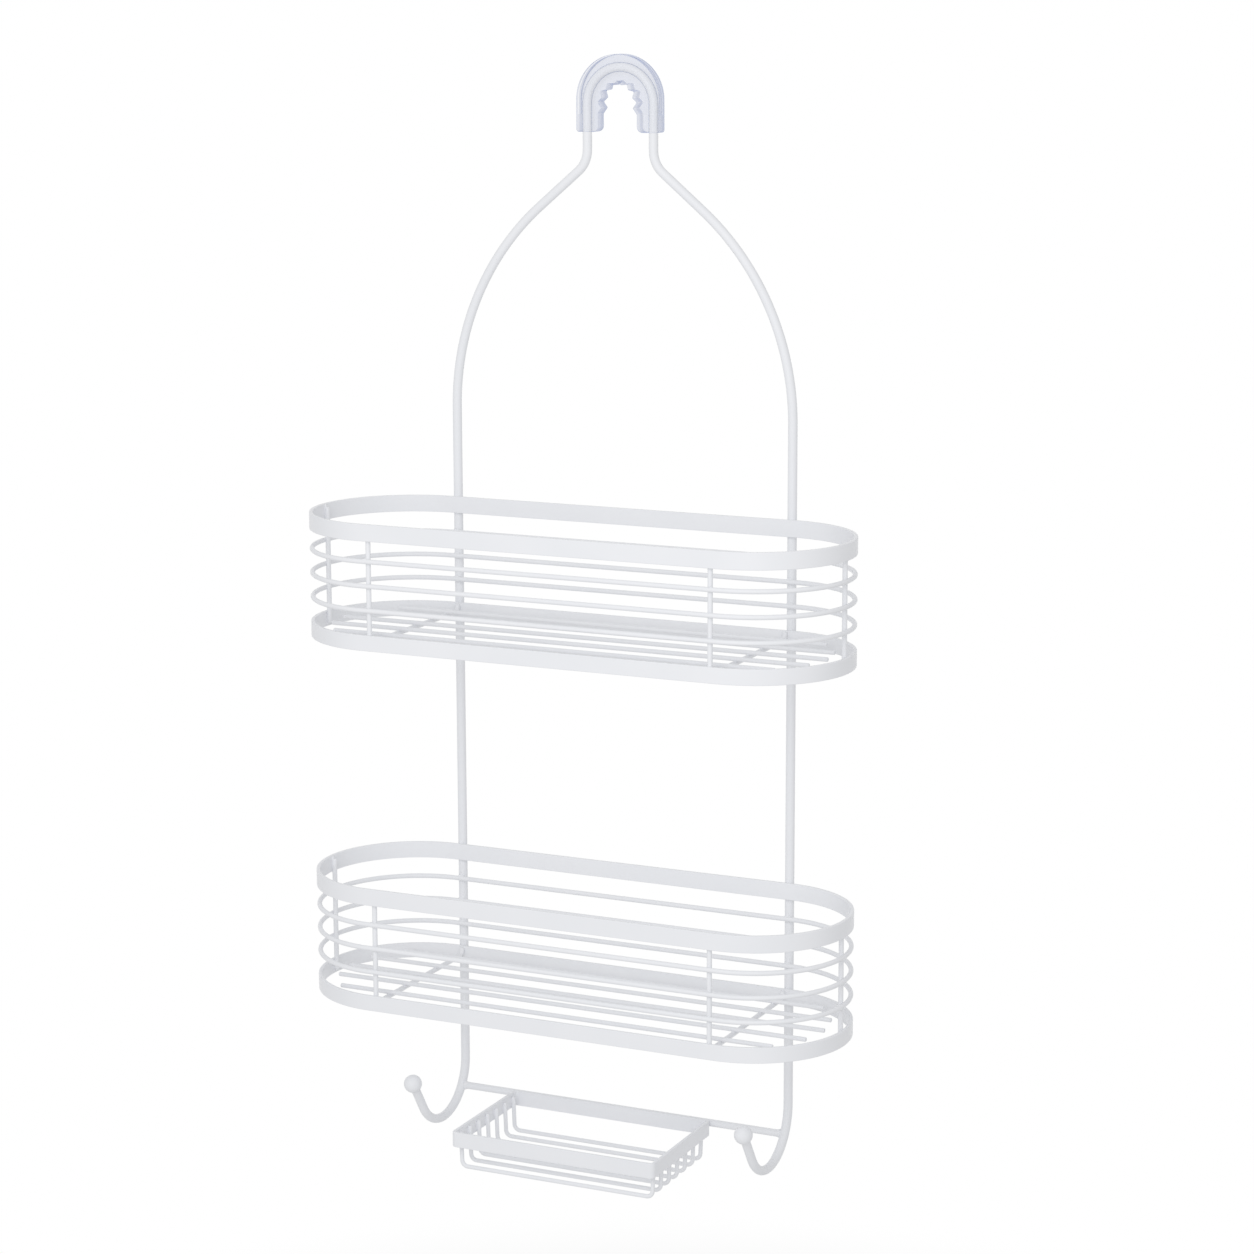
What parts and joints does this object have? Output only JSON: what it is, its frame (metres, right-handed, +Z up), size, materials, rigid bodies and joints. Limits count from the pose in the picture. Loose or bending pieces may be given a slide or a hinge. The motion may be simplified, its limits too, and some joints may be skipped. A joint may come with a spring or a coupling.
{
  "type": "shower caddy",
  "caption": "Hanging wire shower caddy with a hoop for the shower arm, oblong baskets, a soap dish on a crossbar and ball-ended hooks.",
  "frame": {"origin": "centre of the hoop's arc, about 1 mm under the axis of a shower arm in the saddle", "axes": "+X to the right seen from the front, +Y towards the wall, +Z up"},
  "size_m": [0.31, 0.113, 0.6036],
  "materials": {
    "powder_coat": "satin white powder coat",
    "clear_sleeve": "clear soft plastic with a pale blue tint"
  },
  "bodies": {
    "root": {"frame_wire": "powder_coat", "hanger_sleeve": "clear_sleeve", "hook_ball_left": "powder_coat", "hook_ball_right": "powder_coat", "upper_top_band": "powder_coat", "upper_bottom_band": "powder_coat", "upper_side_ring_1": "powder_coat", "upper_side_ring_2": "powder_coat", "upper_side_ring_3": "powder_coat", "upper_end_post_left": "powder_coat", "upper_end_post_right": "powder_coat", "upper_brace_wire_left": "powder_coat", "upper_brace_wire_right": "powder_coat", "upper_floor_wire_1": "powder_coat", "upper_floor_wire_2": "powder_coat", "upper_floor_wire_3": "powder_coat", "upper_floor_wire_4": "powder_coat", "upper_floor_wire_5": "powder_coat", "lower_top_band": "powder_coat", "lower_bottom_band": "powder_coat", "lower_side_ring_1": "powder_coat", "lower_side_ring_2": "powder_coat", "lower_side_ring_3": "powder_coat", "lower_end_post_left": "powder_coat", "lower_end_post_right": "powder_coat", "lower_brace_wire_left": "powder_coat", "lower_brace_wire_right": "powder_coat", "lower_floor_wire_1": "powder_coat", "lower_floor_wire_2": "powder_coat", "lower_floor_wire_3": "powder_coat", "lower_floor_wire_4": "powder_coat", "lower_floor_wire_5": "powder_coat", "dish_crossbar": "powder_coat", "dish_band": "powder_coat", "dish_wire_1": "powder_coat", "dish_wire_2": "powder_coat", "dish_wire_3": "powder_coat", "dish_wire_4": "powder_coat", "dish_wire_5": "powder_coat", "dish_wire_6": "powder_coat", "dish_wire_7": "powder_coat"}
  },
  "joints": []
}
